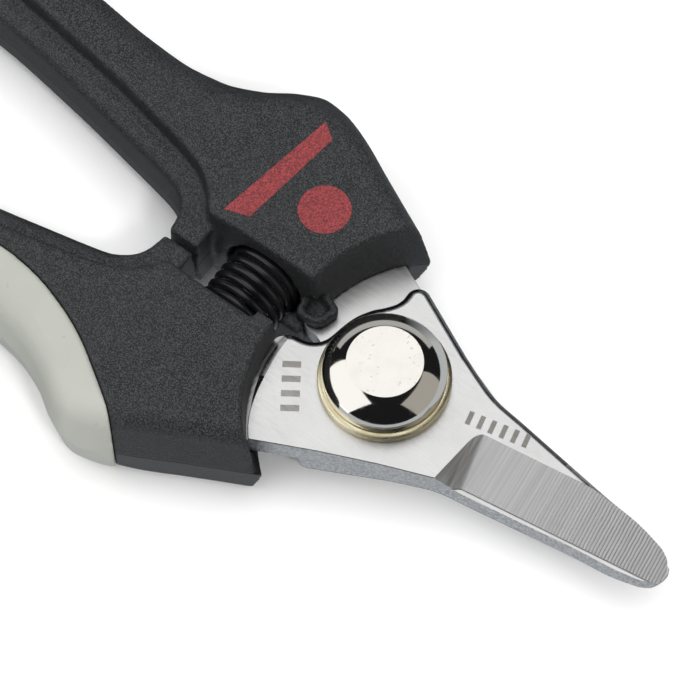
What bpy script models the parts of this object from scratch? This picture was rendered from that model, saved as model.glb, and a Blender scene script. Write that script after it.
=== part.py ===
"""Floral snips: two stainless blades on one pivot, two moulded handles, a coil spring and a wire latch.

X runs to the blade tips, Y to the upper handle and Z up. The snips lie on their back, closed.
The shapes are drawn in millimetres with z = 0 at the plane where the blades slide on each other,
and the whole model is then lifted by SHEAR_Z, so that the handles' backs stand on z = 0.
The lower handle and the near blade are the upper handle and the far blade turned over about X.
"""

import math

import bmesh
import bpy
from mathutils import Matrix, Vector

MM = 0.001
MERGE = 0.00001

# Heights, in millimetres.
SHEAR_Z = 7.2
BLADE_THICK = 3.0
SLIDE_GAP = 0.05
SEAT_GAP = 0.1
SLOT_GAP = 0.25

# Pivot.
SHOULDER_R = 3.5
PIVOT_HOLE_R = 3.6
THREAD_R = 3.0
HEAD_R = 6.4
HEAD_FLAT_R = 4.15
HEAD_TOP = 8.1
HEAD_BASE = 3.95
WASHER_R = 7.2
WASHER_TOP = 3.85
BACK_WASHER_R = 6.2
BACK_WASHER_THICK = 0.75
NUT_ACROSS_FLATS = 10.0
LOCK_RING_THICK = 1.2

# Blade grind: the bevel is a plane through the cutting edge, z = C0 + CX x + CY y.
BEVEL_C0 = 3.289
BEVEL_CX = -0.0697
BEVEL_CY = 0.516
EDGE_LAND = 0.2
STEP_TOP = (11.4, 0.3)
STEP_BOTTOM = (10.8, -6.0)
STEP_RUN = 1.6
STEP_FILLET = 1.2

# Handles.
HALF_THICK = 7.2
LEDGE_HALF = 4.4
TAIL_HALF = 4.6
POCKET_WALL_Y = 2.95
STOP_Y = 0.2
FRONT_CENTRE = (5.5, 2.5)
FRONT_R = 16.5
FRONT_DRAFT_FACE = 0.15
FRONT_DRAFT_BACK = 0.29
CORNER_SEGMENTS = 3

# Spring, on an axis parallel to Y.
SPRING_X = -18.4
SPRING_R = 4.0
SPRING_WIRE_R = 0.5
SPRING_PITCH = 1.16
SPRING_TURNS = 12.5
SPRING_STEPS = 12
BORE_R = 5.0
POST_R = 3.0
BORE_FLOOR_Y = 8.1

# Soft grip on the lower handle.
GRIP_DEPTH = 1.8
GRIP_BULGE = 0.9
GRIP_GAP = 0.15

# Wire latch at the handles' tails.
LATCH_PIVOT = (-136.5, 6.6)
LATCH_REACH = 18.2
LATCH_WIRE_R = 0.9
LATCH_LEG_Z = 5.8
LATCH_PARKED_DEG = 38.0
LATCH_HOLE_R = 1.15
LATCH_BEND_R = 1.8
LATCH_STUB_Z = 1.2

# The upper handle's plan, as curves through (x, y) points.
OUTER_EDGE = [
    (-3.5, 14.9), (-8.0, 17.1), (-13.0, 19.6), (-18.5, 22.4), (-21.5, 23.5), (-24.0, 23.8),
    (-27.0, 22.7), (-30.5, 20.5), (-35.0, 18.7), (-40.0, 17.9), (-45.0, 18.1), (-50.0, 18.7),
    (-60.0, 20.0), (-75.0, 21.2), (-90.0, 21.0), (-105.0, 19.3), (-118.0, 16.6), (-130.0, 13.1),
    (-133.5, 11.9), (-136.5, 10.4), (-139.5, 10.1), (-142.0, 8.8), (-143.6, 7.2),
]
PANEL_EDGE = [
    (-3.5, POCKET_WALL_Y), (-25.9, POCKET_WALL_Y), (-26.5, 3.6), (-27.2, 4.6), (-28.5, 5.9),
    (-30.5, 7.2), (-34.0, 8.3), (-38.0, 9.2), (-44.0, 10.5), (-50.0, 11.5), (-60.0, 13.0),
    (-75.0, 14.2), (-90.0, 13.8), (-105.0, 11.2), (-114.0, 8.5), (-118.0, 7.2), (-130.0, 4.3),
    (-137.0, 2.9), (-141.0, 2.8), (-143.6, 4.4),
]
LEDGE_EDGE = [
    (-26.1, STOP_Y), (-29.0, STOP_Y), (-29.1, 1.2), (-29.5, 2.8), (-30.5, 4.1), (-32.3, 5.0),
    (-36.0, 5.9), (-40.0, 6.7), (-45.0, 7.7), (-50.0, 8.6), (-60.0, 10.1), (-75.0, 11.2),
    (-90.0, 11.1), (-105.0, 9.4), (-114.0, 7.8), (-118.0, 7.3),
]
GRIP_EDGE = [
    (-15.0, 26.3), (-19.0, 22.7), (-21.0, 20.9), (-24.5, 18.5), (-28.0, 16.3), (-32.0, 14.5),
    (-37.0, 13.1), (-43.0, 12.8), (-55.0, 14.3), (-75.0, 16.0), (-95.0, 15.6), (-110.0, 14.0),
    (-120.0, 14.6), (-127.0, 17.5),
]

# The near blade's plan from the heel corner round the tip, without its tang.
SPINE = [
    (5.5, 7.5), (8.0, 6.4), (11.0, 5.3), (15.0, 4.7), (20.0, 3.95), (26.8, 2.95), (31.0, 2.5),
    (34.4, 1.85),
]
TIP = [(35.5, 1.3), (36.1, 0.5), (36.35, -0.4), (36.1, -1.1)]
LOWER_EDGE = [(10.8, -6.1), (5.0, -8.3), (-1.0, -10.85), (-7.4, -13.85)]
HEAD_NOTCH = [
    (-12.7, -3.2), (-12.5, -2.4), (-11.9, -1.7), (-11.0, -1.2), (-9.6, -0.95), (-8.6, -0.35),
    (-8.05, 0.4), (-7.8, 1.2), (-7.4, 3.2), (-6.9, 4.7), (-6.0, 6.2), (-5.2, 7.1), (-4.4, 8.2),
    (-4.1, 9.1),
]
HEEL_CENTRE = (-2.7, 10.0)
HEEL_R = 1.4
TANG = [
    (-9.0, -14.5), (-13.0, -16.2), (-20.0, -17.3), (-30.0, -16.0), (-45.0, -15.4), (-56.5, -15.9),
    (-58.5, -14.6), (-57.0, -13.0), (-45.0, -12.0), (-30.0, -10.8), (-24.5, -9.6), (-13.6, -9.3),
    (-12.8, -8.4),
]

# The lug of the upper handle that wraps onto the far blade.
LUG = [
    (-12.6, 1.4), (-11.5, 1.35), (-10.3, 1.6), (-9.6, 2.2), (-9.4, 3.2), (-9.1, 4.0), (-9.4, 4.6),
    (-10.4, 4.95), (-12.4, 5.2), (-13.1, 4.0), (-13.1, 2.0),
]
LUG_TOP = 1.4

FLIP = Matrix.Rotation(math.pi, 4, "X")


def clear_scene():
    for obj in list(bpy.data.objects):
        bpy.data.objects.remove(obj, do_unlink=True)


def collection(name):
    made = bpy.data.collections.new(name)
    bpy.context.scene.collection.children.link(made)
    return made


def material(name, colour, roughness, metallic=0.0):
    made = bpy.data.materials.new(name)
    made.use_nodes = True
    shader = made.node_tree.nodes["Principled BSDF"]
    shader.inputs["Base Color"].default_value = (*colour, 1.0)
    shader.inputs["Roughness"].default_value = roughness
    shader.inputs["Metallic"].default_value = metallic
    return made


def add(name, mesh, into):
    obj = bpy.data.objects.new(name, mesh)
    into.objects.link(obj)
    return obj


def mesh_from(bm, name):
    bmesh.ops.recalc_face_normals(bm, faces=bm.faces)
    if bm.calc_volume(signed=True) < 0:
        bmesh.ops.reverse_faces(bm, faces=bm.faces)
    mesh = bpy.data.meshes.new(name)
    bm.to_mesh(mesh)
    bm.free()
    return mesh


def as_mesh(obj, name, into):
    """Replace an object by the mesh that it evaluates to, with its loose caps welded."""
    evaluated = obj.evaluated_get(bpy.context.evaluated_depsgraph_get())
    mesh = bpy.data.meshes.new_from_object(evaluated)
    bm = bmesh.new()
    bm.from_mesh(mesh)
    bmesh.ops.remove_doubles(bm, verts=bm.verts, dist=MERGE)
    bmesh.ops.dissolve_degenerate(bm, dist=MERGE / 10, edges=bm.edges)
    bmesh.ops.transform(bm, matrix=obj.matrix_world, verts=bm.verts)
    bpy.data.objects.remove(obj, do_unlink=True)
    return add(name, mesh_from(bm, name), into)


def prism(name, outline, low, high, into):
    """A flat outline in millimetres, extruded from z = low to z = high."""
    curve = bpy.data.curves.new(name, "CURVE")
    curve.dimensions = "2D"
    curve.fill_mode = "BOTH"
    curve.extrude = (high - low) / 2 * MM
    spline = curve.splines.new("POLY")
    spline.points.add(len(outline) - 1)
    for point, (x, y) in zip(spline.points, outline):
        point.co = (x * MM, y * MM, 0.0, 1.0)
    spline.use_cyclic_u = True
    obj = add(name, curve, into)
    obj.location.z = (low + high) / 2 * MM
    bpy.context.view_layer.update()
    return as_mesh(obj, name, into)


def cylinder(name, radius, low, high, into, centre=(0.0, 0.0), top_radius=None, segments=48):
    """A round or tapered solid on a vertical axis, in millimetres."""
    bm = bmesh.new()
    bmesh.ops.create_cone(
        bm,
        cap_ends=True,
        segments=segments,
        radius1=radius * MM,
        radius2=(radius if top_radius is None else top_radius) * MM,
        depth=(high - low) * MM,
        matrix=Matrix.Translation((centre[0] * MM, centre[1] * MM, (low + high) / 2 * MM)),
    )
    return add(name, mesh_from(bm, name), into)


def turned(name, profile, into, segments=48):
    """A solid of revolution about Z from (radius, z) points in millimetres, top to bottom."""
    bm = bmesh.new()
    verts = [bm.verts.new((r * MM, 0.0, z * MM)) for r, z in profile]
    for a, b in zip(verts, verts[1:]):
        bm.edges.new((a, b))
    if profile[0][0] > 0:
        bm.edges.new((verts[-1], verts[0]))
    mesh = bpy.data.meshes.new(name)
    bm.to_mesh(mesh)
    bm.free()
    obj = add(name, mesh, into)
    screw = obj.modifiers.new("turn", "SCREW")
    screw.axis = "Z"
    screw.angle = math.tau
    screw.steps = segments
    screw.render_steps = segments
    screw.use_merge_vertices = True
    screw.merge_threshold = MERGE
    screw.use_normal_calculate = True
    return as_mesh(obj, name, into)


def boolean(obj, other, operation):
    cut = obj.modifiers.new(operation.lower(), "BOOLEAN")
    cut.operation = operation
    cut.solver = "EXACT"
    cut.object = other
    other.hide_render = True
    other.display_type = "WIRE"
    return obj


def smooth_points(points, steps):
    """Points on a Catmull-Rom curve through the given points."""
    ends = [points[0], *points, points[-1]]
    made = []
    for a, b, c, d in zip(ends, ends[1:], ends[2:], ends[3:]):
        for k in range(steps):
            t = k / steps
            made.append(tuple(
                0.5 * (2 * q + (r - p) * t + (2 * p - 5 * q + 4 * r - s) * t ** 2
                       + (3 * q - p - 3 * r + s) * t ** 3)
                for p, q, r, s in zip(a, b, c, d)
            ))
    made.append(tuple(points[-1]))
    return made


def height_at(points, x):
    """The y of an edge, given as (x, y) points with falling x, at x."""
    if x >= points[0][0]:
        return points[0][1]
    for (xa, ya), (xb, yb) in zip(points, points[1:]):
        if x >= xb:
            return ya + (yb - ya) * (x - xa) / (xb - xa)
    return points[-1][1]


def ramp(x, start, end, low, high):
    """low at start, high at end, with an even smooth change between them."""
    t = min(1.0, max(0.0, (x - start) / (end - start)))
    return low + (high - low) * t * t * (3 - 2 * t)


def arc(centre, radius, start_deg, end_deg, steps):
    made = []
    for k in range(steps + 1):
        angle = math.radians(start_deg + (end_deg - start_deg) * k / steps)
        made.append((centre[0] + radius * math.cos(angle), centre[1] + radius * math.sin(angle)))
    return made


def section(inner, outer, half, inner_r, outer_r, draft):
    """A rounded cross-section, as (y, z) points: widest at z = 0 and the same above and below."""
    top = [(outer, 0.0)]
    top += arc((outer - draft - outer_r, half - outer_r), outer_r, 0, 90, CORNER_SEGMENTS)
    top += arc((inner + draft + inner_r, half - inner_r), inner_r, 90, 180, CORNER_SEGMENTS)
    top.append((inner, 0.0))
    return top + [(y, -z) for y, z in reversed(top[1:-1])]


def loft(name, sections, into):
    """A solid through a row of (x, points) sections that all have the same number of points."""
    bm = bmesh.new()
    rings = [[bm.verts.new((x * MM, y * MM, z * MM)) for y, z in points] for x, points in sections]
    for near, far in zip(rings, rings[1:]):
        for k in range(len(near)):
            j = (k + 1) % len(near)
            bm.faces.new((near[k], near[j], far[j], far[k]))
    bm.faces.new(rings[0])
    bm.faces.new(rings[-1])
    return add(name, mesh_from(bm, name), into)


def half_thickness(x):
    """Half the handle's thickness: full at the head, thinner where the latch wire passes."""
    tail = ramp(x, -98.0, -119.0, HALF_THICK, TAIL_HALF)
    return ramp(x, -140.0, -144.0, tail, TAIL_HALF - 1.6)


def panel_sections(inset=0.0, bulge=0.0):
    """The handle's raised body. inset shrinks it all round and bulge swells its outer side."""
    stations = sorted({x for x, _ in OUTER_EDGE + PANEL_EDGE}, reverse=True)
    made = []
    for x in stations:
        inner = height_at(PANEL_EDGE, x) + inset
        swell = bulge * ramp(x, -15.0, -26.0, 0.0, 1.0) * ramp(x, -118.0, -130.0, 1.0, 0.0)
        outer = height_at(OUTER_EDGE, x) - inset + swell
        half = half_thickness(x) - inset
        width = outer - inner
        outer_r = min(ramp(x, -20.0, -32.0, 1.6, 4.2), 0.4 * width, 0.8 * half)
        inner_r = min(ramp(x, -104.0, -124.0, 0.7, 3.0), 0.4 * width, 0.6 * half)
        draft = min(ramp(x, -20.0, -32.0, 0.9, 0.4), 0.08 * width)
        made.append((x, section(inner, outer, half, inner_r, outer_r, draft)))
    return made


def ledge_sections():
    """The lower ledge along the handle's inner side, with the stop at its front end."""
    made = []
    for x, inner in LEDGE_EDGE:
        outer = height_at(PANEL_EDGE, x) + 1.6
        half = min(LEDGE_HALF, half_thickness(x) - 0.5)
        inner_r = ramp(x, -29.0, -36.0, 0.5, 2.6)
        inner_r = min(inner_r, 0.35 * (outer - inner))
        made.append((x, section(inner, outer, half, inner_r, 0.3, 0.15)))
    return made


def blade_outline(grow=0.0):
    """The near blade's plan with its tang, optionally grown for the slot in the handle."""
    edge = []
    for x in (35.3, 30.0, 25.0, 20.0, 16.0, 13.2):
        edge.append((x, (-BEVEL_C0 - BEVEL_CX * x) / BEVEL_CY + EDGE_LAND))
    outline = arc(HEEL_CENTRE, HEEL_R, 180, 63, 6) + SPINE + TIP + edge + LOWER_EDGE
    outline += TANG + HEAD_NOTCH
    return offset_outline(outline, grow) if grow else outline


def offset_outline(outline, distance):
    """The outline moved outwards by distance along each corner's own normal."""
    area = sum(a[0] * b[1] - b[0] * a[1] for a, b in zip(outline, outline[1:] + outline[:1]))
    side = distance if area > 0 else -distance
    made = []
    for k, here in enumerate(outline):
        before = Vector(here) - Vector(outline[k - 1])
        after = Vector(outline[(k + 1) % len(outline)]) - Vector(here)
        normal_a = Vector((before.y, -before.x)).normalized()
        normal_b = Vector((after.y, -after.x)).normalized()
        corner = (normal_a + normal_b).normalized()
        reach = side / max(0.5, corner.dot(normal_a))
        made.append((here[0] + corner.x * reach, here[1] + corner.y * reach))
    return made


def grind_cutter(into):
    """The stone that grinds the near blade's bevel: a flat bottom, a sloping end and a fillet."""
    bevel_up = Vector((-BEVEL_CX, -BEVEL_CY, 1.0)).normalized()
    along = Vector((STEP_TOP[0] - STEP_BOTTOM[0], STEP_TOP[1] - STEP_BOTTOM[1], 0.0)).normalized()
    down = Vector((STEP_RUN, 0.0, -BLADE_THICK))
    wall_out = along.cross(down).normalized()
    if wall_out.x < 0:
        wall_out.negate()
    line = bevel_up.cross(wall_out).normalized()
    start = Vector((STEP_TOP[0], STEP_TOP[1], BLADE_THICK))
    depth = BEVEL_C0 + BEVEL_CX * start.x + BEVEL_CY * start.y - BLADE_THICK
    floor_dir = line.cross(bevel_up).normalized()
    if floor_dir.x < 0:
        floor_dir.negate()
    wall_dir = line.cross(wall_out).normalized()
    if wall_dir.z < 0:
        wall_dir.negate()
    # Where the wall's line through start meets the bevel plane.
    corner = start + wall_dir * (depth / (wall_dir.dot(bevel_up) / bevel_up.z))
    angle = floor_dir.angle(wall_dir)
    reach = STEP_FILLET / math.tan(angle / 2)
    middle = corner + (floor_dir + wall_dir).normalized() * (STEP_FILLET / math.sin(angle / 2))
    first = corner + floor_dir * reach - middle
    last = corner + wall_dir * reach - middle
    fillet = [middle + first.slerp(last, k / 5) * 1.0 for k in range(6)]
    profile = [corner + floor_dir * 40.0, *fillet, corner + wall_dir * 9.0]
    profile.append(corner + wall_dir * 9.0 + floor_dir * 40.0)
    bm = bmesh.new()
    rings = [[bm.verts.new((p + line * side) * MM) for p in profile] for side in (-25.0, 25.0)]
    count = len(profile)
    for k in range(count):
        j = (k + 1) % count
        bm.faces.new((rings[0][k], rings[0][j], rings[1][j], rings[1][k]))
    bm.faces.new(rings[0])
    bm.faces.new(rings[1])
    return add("grind_cutter", mesh_from(bm, "grind_cutter"), into)


def make_blade(name, into, cutters, turn):
    blade = prism(name, blade_outline(), SLIDE_GAP, BLADE_THICK, into)
    boolean(blade, grind_cutter(cutters), "DIFFERENCE")
    hole = cylinder(name + "_hole", PIVOT_HOLE_R, -1.0, BLADE_THICK + 1.0, cutters)
    boolean(blade, hole, "DIFFERENCE")
    blade = as_mesh(blade, name, into)
    blade.data.transform(turn)
    return blade


def make_handle(name, into, cutters, turn, gripped):
    """One handle in the upper handle's place, turned over at the end for the lower one."""
    body = loft(name, panel_sections(), into)
    if gripped:
        boolean(body, grip_region(name + "_region", cutters, 0.0), "DIFFERENCE")
        boolean(body, loft(name + "_core", panel_sections(inset=GRIP_DEPTH), cutters), "UNION")
    boolean(body, loft(name + "_ledge", ledge_sections(), cutters), "UNION")
    for side, draft in ((1, FRONT_DRAFT_FACE), (-1, FRONT_DRAFT_BACK)):
        reach = HALF_THICK + 1.0
        near_r = FRONT_R - 0.05 * draft
        far_r = FRONT_R + draft * reach
        low, high = (-0.05, reach) if side > 0 else (-reach, 0.05)
        wide, narrow = (near_r, far_r) if side > 0 else (far_r, near_r)
        front = cylinder(
            f"{name}_front_{low:.0f}", wide, low, high, cutters, FRONT_CENTRE, narrow, 72
        )
        boolean(body, front, "DIFFERENCE")
    lug = prism(name + "_lug", LUG, 2 * SEAT_GAP, LUG_TOP, cutters)
    boolean(body, lug, "UNION")
    slot = prism(name + "_slot", blade_outline(SLOT_GAP), -0.15, BLADE_THICK + 0.15, cutters)
    slot.data.transform(FLIP)
    boolean(body, slot, "DIFFERENCE")
    boolean(body, spring_bore(name + "_bore", cutters), "DIFFERENCE")
    if not gripped:
        hole = cylinder(
            name + "_latch_hole", LATCH_HOLE_R, -9.0, 9.0, cutters, LATCH_PIVOT, None, 20
        )
        boolean(body, hole, "DIFFERENCE")
    body = as_mesh(body, name, into)
    body.data.transform(turn)
    return body


def grip_region(name, into, shrink):
    """Everything outward of the soft grip's edge, as a tall prism."""
    edge = [(x, y + shrink) for x, y in smooth_points(GRIP_EDGE, 3)]
    return prism(name, [*edge, (-127.0 + shrink, 40.0), (-15.0 - shrink, 40.0)], -12.0, 12.0, into)


def make_grip(name, into, cutters, turn):
    grip = loft(name, panel_sections(bulge=GRIP_BULGE), into)
    boolean(grip, grip_region(name + "_region", cutters, GRIP_GAP), "INTERSECT")
    core = loft(name + "_core", panel_sections(inset=GRIP_DEPTH - GRIP_GAP), cutters)
    boolean(grip, core, "DIFFERENCE")
    grip = as_mesh(grip, name, into)
    grip.data.transform(turn)
    return grip


def spring_bore(name, into):
    """The round groove that seats the spring, with the handle's own post left inside it."""
    depth = BORE_FLOOR_Y - POCKET_WALL_Y + 1.0
    profile = [
        (POST_R, depth), (BORE_R, depth), (BORE_R, 0.0), (POST_R, 0.0),
    ]
    bore = turned(name, profile, into, 24)
    turn = Matrix.Rotation(-math.pi / 2, 4, "X")
    place = Matrix.Translation((SPRING_X * MM, (POCKET_WALL_Y - 1.0) * MM, 0.0))
    bore.data.transform(place @ turn)
    mouth = cylinder(name + "_mouth", POST_R + 0.2, -0.3, 2.2, into, segments=24)
    mouth.data.transform(place @ turn)
    boolean(bore, mouth, "UNION")
    return as_mesh(bore, name, into)


def wire(name, points, radius, into, resolution=2):
    """A round wire along a row of points in millimetres."""
    curve = bpy.data.curves.new(name, "CURVE")
    curve.dimensions = "3D"
    curve.bevel_depth = radius * MM
    curve.bevel_resolution = resolution
    curve.use_fill_caps = True
    spline = curve.splines.new("POLY")
    spline.points.add(len(points) - 1)
    for point, (x, y, z) in zip(spline.points, points):
        point.co = (x * MM, y * MM, z * MM, 1.0)
    return as_mesh(add(name, curve, into), name, into)


def make_spring(name, into):
    half = SPRING_TURNS * SPRING_PITCH / 2
    count = round(SPRING_TURNS * SPRING_STEPS)
    points = []
    for k in range(count + 1):
        angle = math.tau * k / SPRING_STEPS
        points.append((
            SPRING_X + SPRING_R * math.cos(angle),
            -half + 2 * half * k / count,
            SPRING_R * math.sin(angle),
        ))
    return wire(name, points, SPRING_WIRE_R, into)


def make_latch(name, into):
    """A wire bail: two ends in the handle, two legs along its faces and a bar across."""
    leg = [(0.0, LATCH_STUB_Z), (0.0, LATCH_LEG_Z - LATCH_BEND_R)]
    leg += arc((LATCH_BEND_R, LATCH_LEG_Z - LATCH_BEND_R), LATCH_BEND_R, 180, 90, 4)[1:]
    far = LATCH_REACH - LATCH_BEND_R
    leg += arc((far, LATCH_LEG_Z - LATCH_BEND_R), LATCH_BEND_R, 90, 0, 4)
    path = leg + [(u, -z) for u, z in reversed(leg)]
    angle = math.radians(LATCH_PARKED_DEG)
    points = [
        (LATCH_PIVOT[0] + u * math.cos(angle), LATCH_PIVOT[1] + u * math.sin(angle), z)
        for u, z in path
    ]
    return wire(name, points, LATCH_WIRE_R, into, 2)


def make_bolt(name, into):
    dome = []
    for k in range(7):
        t = math.radians(90 * k / 6)
        dome.append((
            HEAD_FLAT_R + (HEAD_R - 0.1 - HEAD_FLAT_R) * math.sin(t),
            4.75 + (HEAD_TOP - 4.75) * math.cos(t),
        ))
    profile = [(0.0, HEAD_TOP), (HEAD_FLAT_R - 0.25, HEAD_TOP), *dome]
    profile += [(HEAD_R, 4.5), (HEAD_R, HEAD_BASE + 0.1), (HEAD_R - 0.15, HEAD_BASE)]
    nut_face = -BLADE_THICK - 2 * SEAT_GAP - BACK_WASHER_THICK
    profile += [(SHOULDER_R, HEAD_BASE), (SHOULDER_R, nut_face), (THREAD_R, nut_face)]
    profile += [(THREAD_R, -SHEAR_Z + 0.4), (THREAD_R - 0.4, -SHEAR_Z), (0.0, -SHEAR_Z)]
    return turned(name, profile, into)


def ring(name, inner, outer, low, high, into, chamfer=0.0, segments=48):
    profile = [
        (inner, high), (outer - chamfer, high), (outer - 0.3 * chamfer, high - 0.3 * chamfer),
        (outer, high - chamfer), (outer, low), (inner, low),
    ]
    if not chamfer:
        profile = [(inner, high), (outer, high), (outer, low), (inner, low)]
    return turned(name, profile, into, segments)


def make_nut(name, into, cutters):
    top = -BLADE_THICK - 2 * SEAT_GAP - BACK_WASHER_THICK - SEAT_GAP
    low = -SHEAR_Z + 0.15
    nut = cylinder(
        name, NUT_ACROSS_FLATS / 2 / math.cos(math.pi / 6), low, top, into, segments=6
    )
    boolean(nut, cylinder(name + "_hole", THREAD_R + 0.1, low - 1, top + 1, cutters), "DIFFERENCE")
    pocket = cylinder(
        name + "_pocket", THREAD_R + 1.3, low - 1, low + LOCK_RING_THICK + 0.1, cutters
    )
    boolean(nut, pocket, "DIFFERENCE")
    return as_mesh(nut, name, into)


def build():
    clear_scene()
    parts = collection("floral_snips")
    cutters = collection("cutters")
    black = material("black_nylon", (0.025, 0.026, 0.028), 0.55)
    rubber = material("grey_rubber", (0.50, 0.50, 0.46), 0.38)
    steel = material("blade_steel", (0.62, 0.62, 0.61), 0.32, 1.0)
    nickel = material("nickel_plate", (0.75, 0.73, 0.68), 0.08, 1.0)
    brass = material("brass", (0.80, 0.66, 0.38), 0.22, 1.0)
    spring_steel = material("black_spring_steel", (0.03, 0.03, 0.032), 0.25, 0.6)
    nylon = material("white_nylon", (0.75, 0.74, 0.70), 0.45)
    upright = Matrix.Identity(4)

    made = [
        (make_handle("upper_handle", parts, cutters, upright, False), black),
        (make_handle("lower_handle", parts, cutters, FLIP, True), black),
        (make_grip("lower_grip", parts, cutters, FLIP), rubber),
        (make_blade("near_blade", parts, cutters, upright), steel),
        (make_blade("far_blade", parts, cutters, FLIP), steel),
        (make_bolt("pivot_bolt", parts), nickel),
        (make_spring("coil_spring", parts), spring_steel),
        (make_latch("latch_bail", parts), nickel),
        (make_nut("pivot_nut", parts, cutters), nickel),
    ]
    front_low = BLADE_THICK + SEAT_GAP / 2
    front = ring("front_washer", PIVOT_HOLE_R, WASHER_R, front_low, WASHER_TOP, parts, 0.45)
    made.append((front, brass))
    back_high = -BLADE_THICK - SEAT_GAP
    back_low = back_high - BACK_WASHER_THICK
    back = ring("back_washer", PIVOT_HOLE_R, BACK_WASHER_R, back_low, back_high, parts, 0.3)
    made.append((back, brass))
    ring_low = -SHEAR_Z + 0.2
    lock = ring(
        "nut_lock_ring", THREAD_R + 0.1, THREAD_R + 1.2, ring_low, ring_low + LOCK_RING_THICK - 0.1,
        parts, 0.0,
    )
    made.append((lock, nylon))

    lift = Matrix.Translation((0.0, 0.0, SHEAR_Z * MM))
    for obj, look in made:
        obj.data.transform(lift)
        obj.data.materials.append(look)
        obj.data.shade_smooth()
        obj.data.set_sharp_from_angle(angle=math.radians(30))


build()
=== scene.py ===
"""Floral snips: the finished surface and looks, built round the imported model.

Shapes are drawn in millimetres with z = 0 at the plane where the blades slide on each other, and are
lifted by SHEAR_Z when they are done. X runs to the blade tips, Y to the upper handle and Z up.
The lower handle and the near blade are the upper handle and the far blade turned over about X.
"""

import math

import bmesh
import bpy
from mathutils import Matrix, Vector


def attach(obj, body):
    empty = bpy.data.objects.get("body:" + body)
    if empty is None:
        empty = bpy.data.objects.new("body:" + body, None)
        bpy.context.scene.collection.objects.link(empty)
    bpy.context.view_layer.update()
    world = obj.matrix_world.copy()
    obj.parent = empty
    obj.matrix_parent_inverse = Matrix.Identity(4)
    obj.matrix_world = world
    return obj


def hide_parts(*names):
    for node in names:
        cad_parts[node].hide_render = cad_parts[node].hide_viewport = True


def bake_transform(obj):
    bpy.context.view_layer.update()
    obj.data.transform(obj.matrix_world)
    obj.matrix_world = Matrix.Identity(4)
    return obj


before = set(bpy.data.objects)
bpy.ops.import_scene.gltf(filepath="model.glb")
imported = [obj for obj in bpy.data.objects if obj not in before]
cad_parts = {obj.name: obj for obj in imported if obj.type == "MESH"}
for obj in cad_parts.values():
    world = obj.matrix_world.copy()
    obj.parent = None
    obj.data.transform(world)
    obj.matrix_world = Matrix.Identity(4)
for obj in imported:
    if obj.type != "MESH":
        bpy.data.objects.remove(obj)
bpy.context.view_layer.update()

MM = 0.001
MERGE = 0.00001

# Heights, in millimetres.
SHEAR_Z = 7.2
BLADE_THICK = 3.0
SLIDE_GAP = 0.05
SEAT_GAP = 0.1
SLOT_GAP = 0.25

# Pivot.
SHOULDER_R = 3.5
PIVOT_HOLE_R = 3.6
THREAD_R = 3.0
HEAD_FLAT_R = 4.12
HEAD_FLANK_R = 4.77
HEAD_FLANK_DEG = (20.0, 60.0)
HEAD_RIM_ROUND = 0.3
HEAD_TOP = 7.85
HEAD_BASE = 4.25
HEAD_FOOT_ROUND = 0.25
THREAD_DEPTH = 0.35
THREAD_PITCH = 1.0
BOLT_END_CHAMFER = 0.4
WASHER_R = 7.2
WASHER_TOP = 4.15
WASHER_CROWN_R = 1.6
WASHER_CROWN_DEG = (86.0, 66.0)
WASHER_RIM_ROUND = 0.115
WASHER_DISH = (6.0, 3.9)
BACK_WASHER_R = 6.2
BACK_WASHER_THICK = 0.75
NUT_ACROSS_FLATS = 10.0
LOCK_RING_THICK = 1.2

# Blade grind: the bevel is a plane through the cutting edge, z = C0 + CX x + CY y.
BEVEL_C0 = 3.289
BEVEL_CX = -0.0697
BEVEL_CY = 0.516
EDGE_LAND = 0.2
STEP_TOP = (11.4, 0.3)
STEP_BOTTOM = (10.8, -6.0)
STEP_RUN = 1.6
STEP_FILLET = 1.6

# How far the blade's upper edge is rounded, and the steps of that rounding.
HEEL_ROUND = 0.85
SPINE_ROUND = 0.7
TIP_ROUND = 0.15
EDGE_ROUND = 0.08
ROUND_STEPS = 5

# The blade's face slopes down where it runs into the handle, in a band that narrows to nothing.
RELIEF_ARC_DEG = (172.0, 222.0)
RELIEF_NARROWING_DEG = (190.0, 218.0)
RELIEF_START = 16.7
RELIEF_END = 17.35
RELIEF_DROP = 0.26

# Handles.
HALF_THICK = 7.2
LEDGE_HALF = 4.4
TAIL_HALF = 4.6
POCKET_WALL_Y = 2.95
STOP_Y = 0.2
FRONT_CENTRE = (5.5, 2.5)
FRONT_R = 16.5
FRONT_DRAFT = 0.15
GRIPPED_FRONT_R = 17.3
GRIPPED_FRONT_DRAFT = 0.1
TAIL_THINS_X = (-98.0, -119.0)
HEAD_TO_ARM_X = (-20.0, -32.0)
CORNER_TO_ARM_X = (-14.0, -32.0)
SLOT_PLAY = 0.15
PAST_EVERYTHING = 12.0
CORNER_SEGMENTS = 7
STATION_STEP = 0.8
SKIN_VOXEL = 0.28
SKIN_SMOOTH = 4

# Spring, on an axis parallel to Y.
SPRING_X = -18.4
SPRING_R = 4.0
SPRING_WIRE_R = 0.5
SPRING_PITCH = 1.16
SPRING_TURNS = 12.5
SPRING_STEPS = 32
BORE_R = 5.0
POST_R = 3.0
BORE_FLOOR_Y = 8.1

# Soft grip on the lower handle.
GRIP_DEPTH = 1.8
GRIP_BULGE = 0.9
GRIP_GAP = 0.08

# Wire latch at the handles' tails.
LATCH_PIVOT = (-136.5, 6.6)
LATCH_REACH = 18.2
LATCH_WIRE_R = 0.9
LATCH_LEG_Z = 5.8
LATCH_PARKED_DEG = 38.0
LATCH_HOLE_R = 1.15
LATCH_BEND_R = 1.8
LATCH_STUB_Z = 1.2

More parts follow.
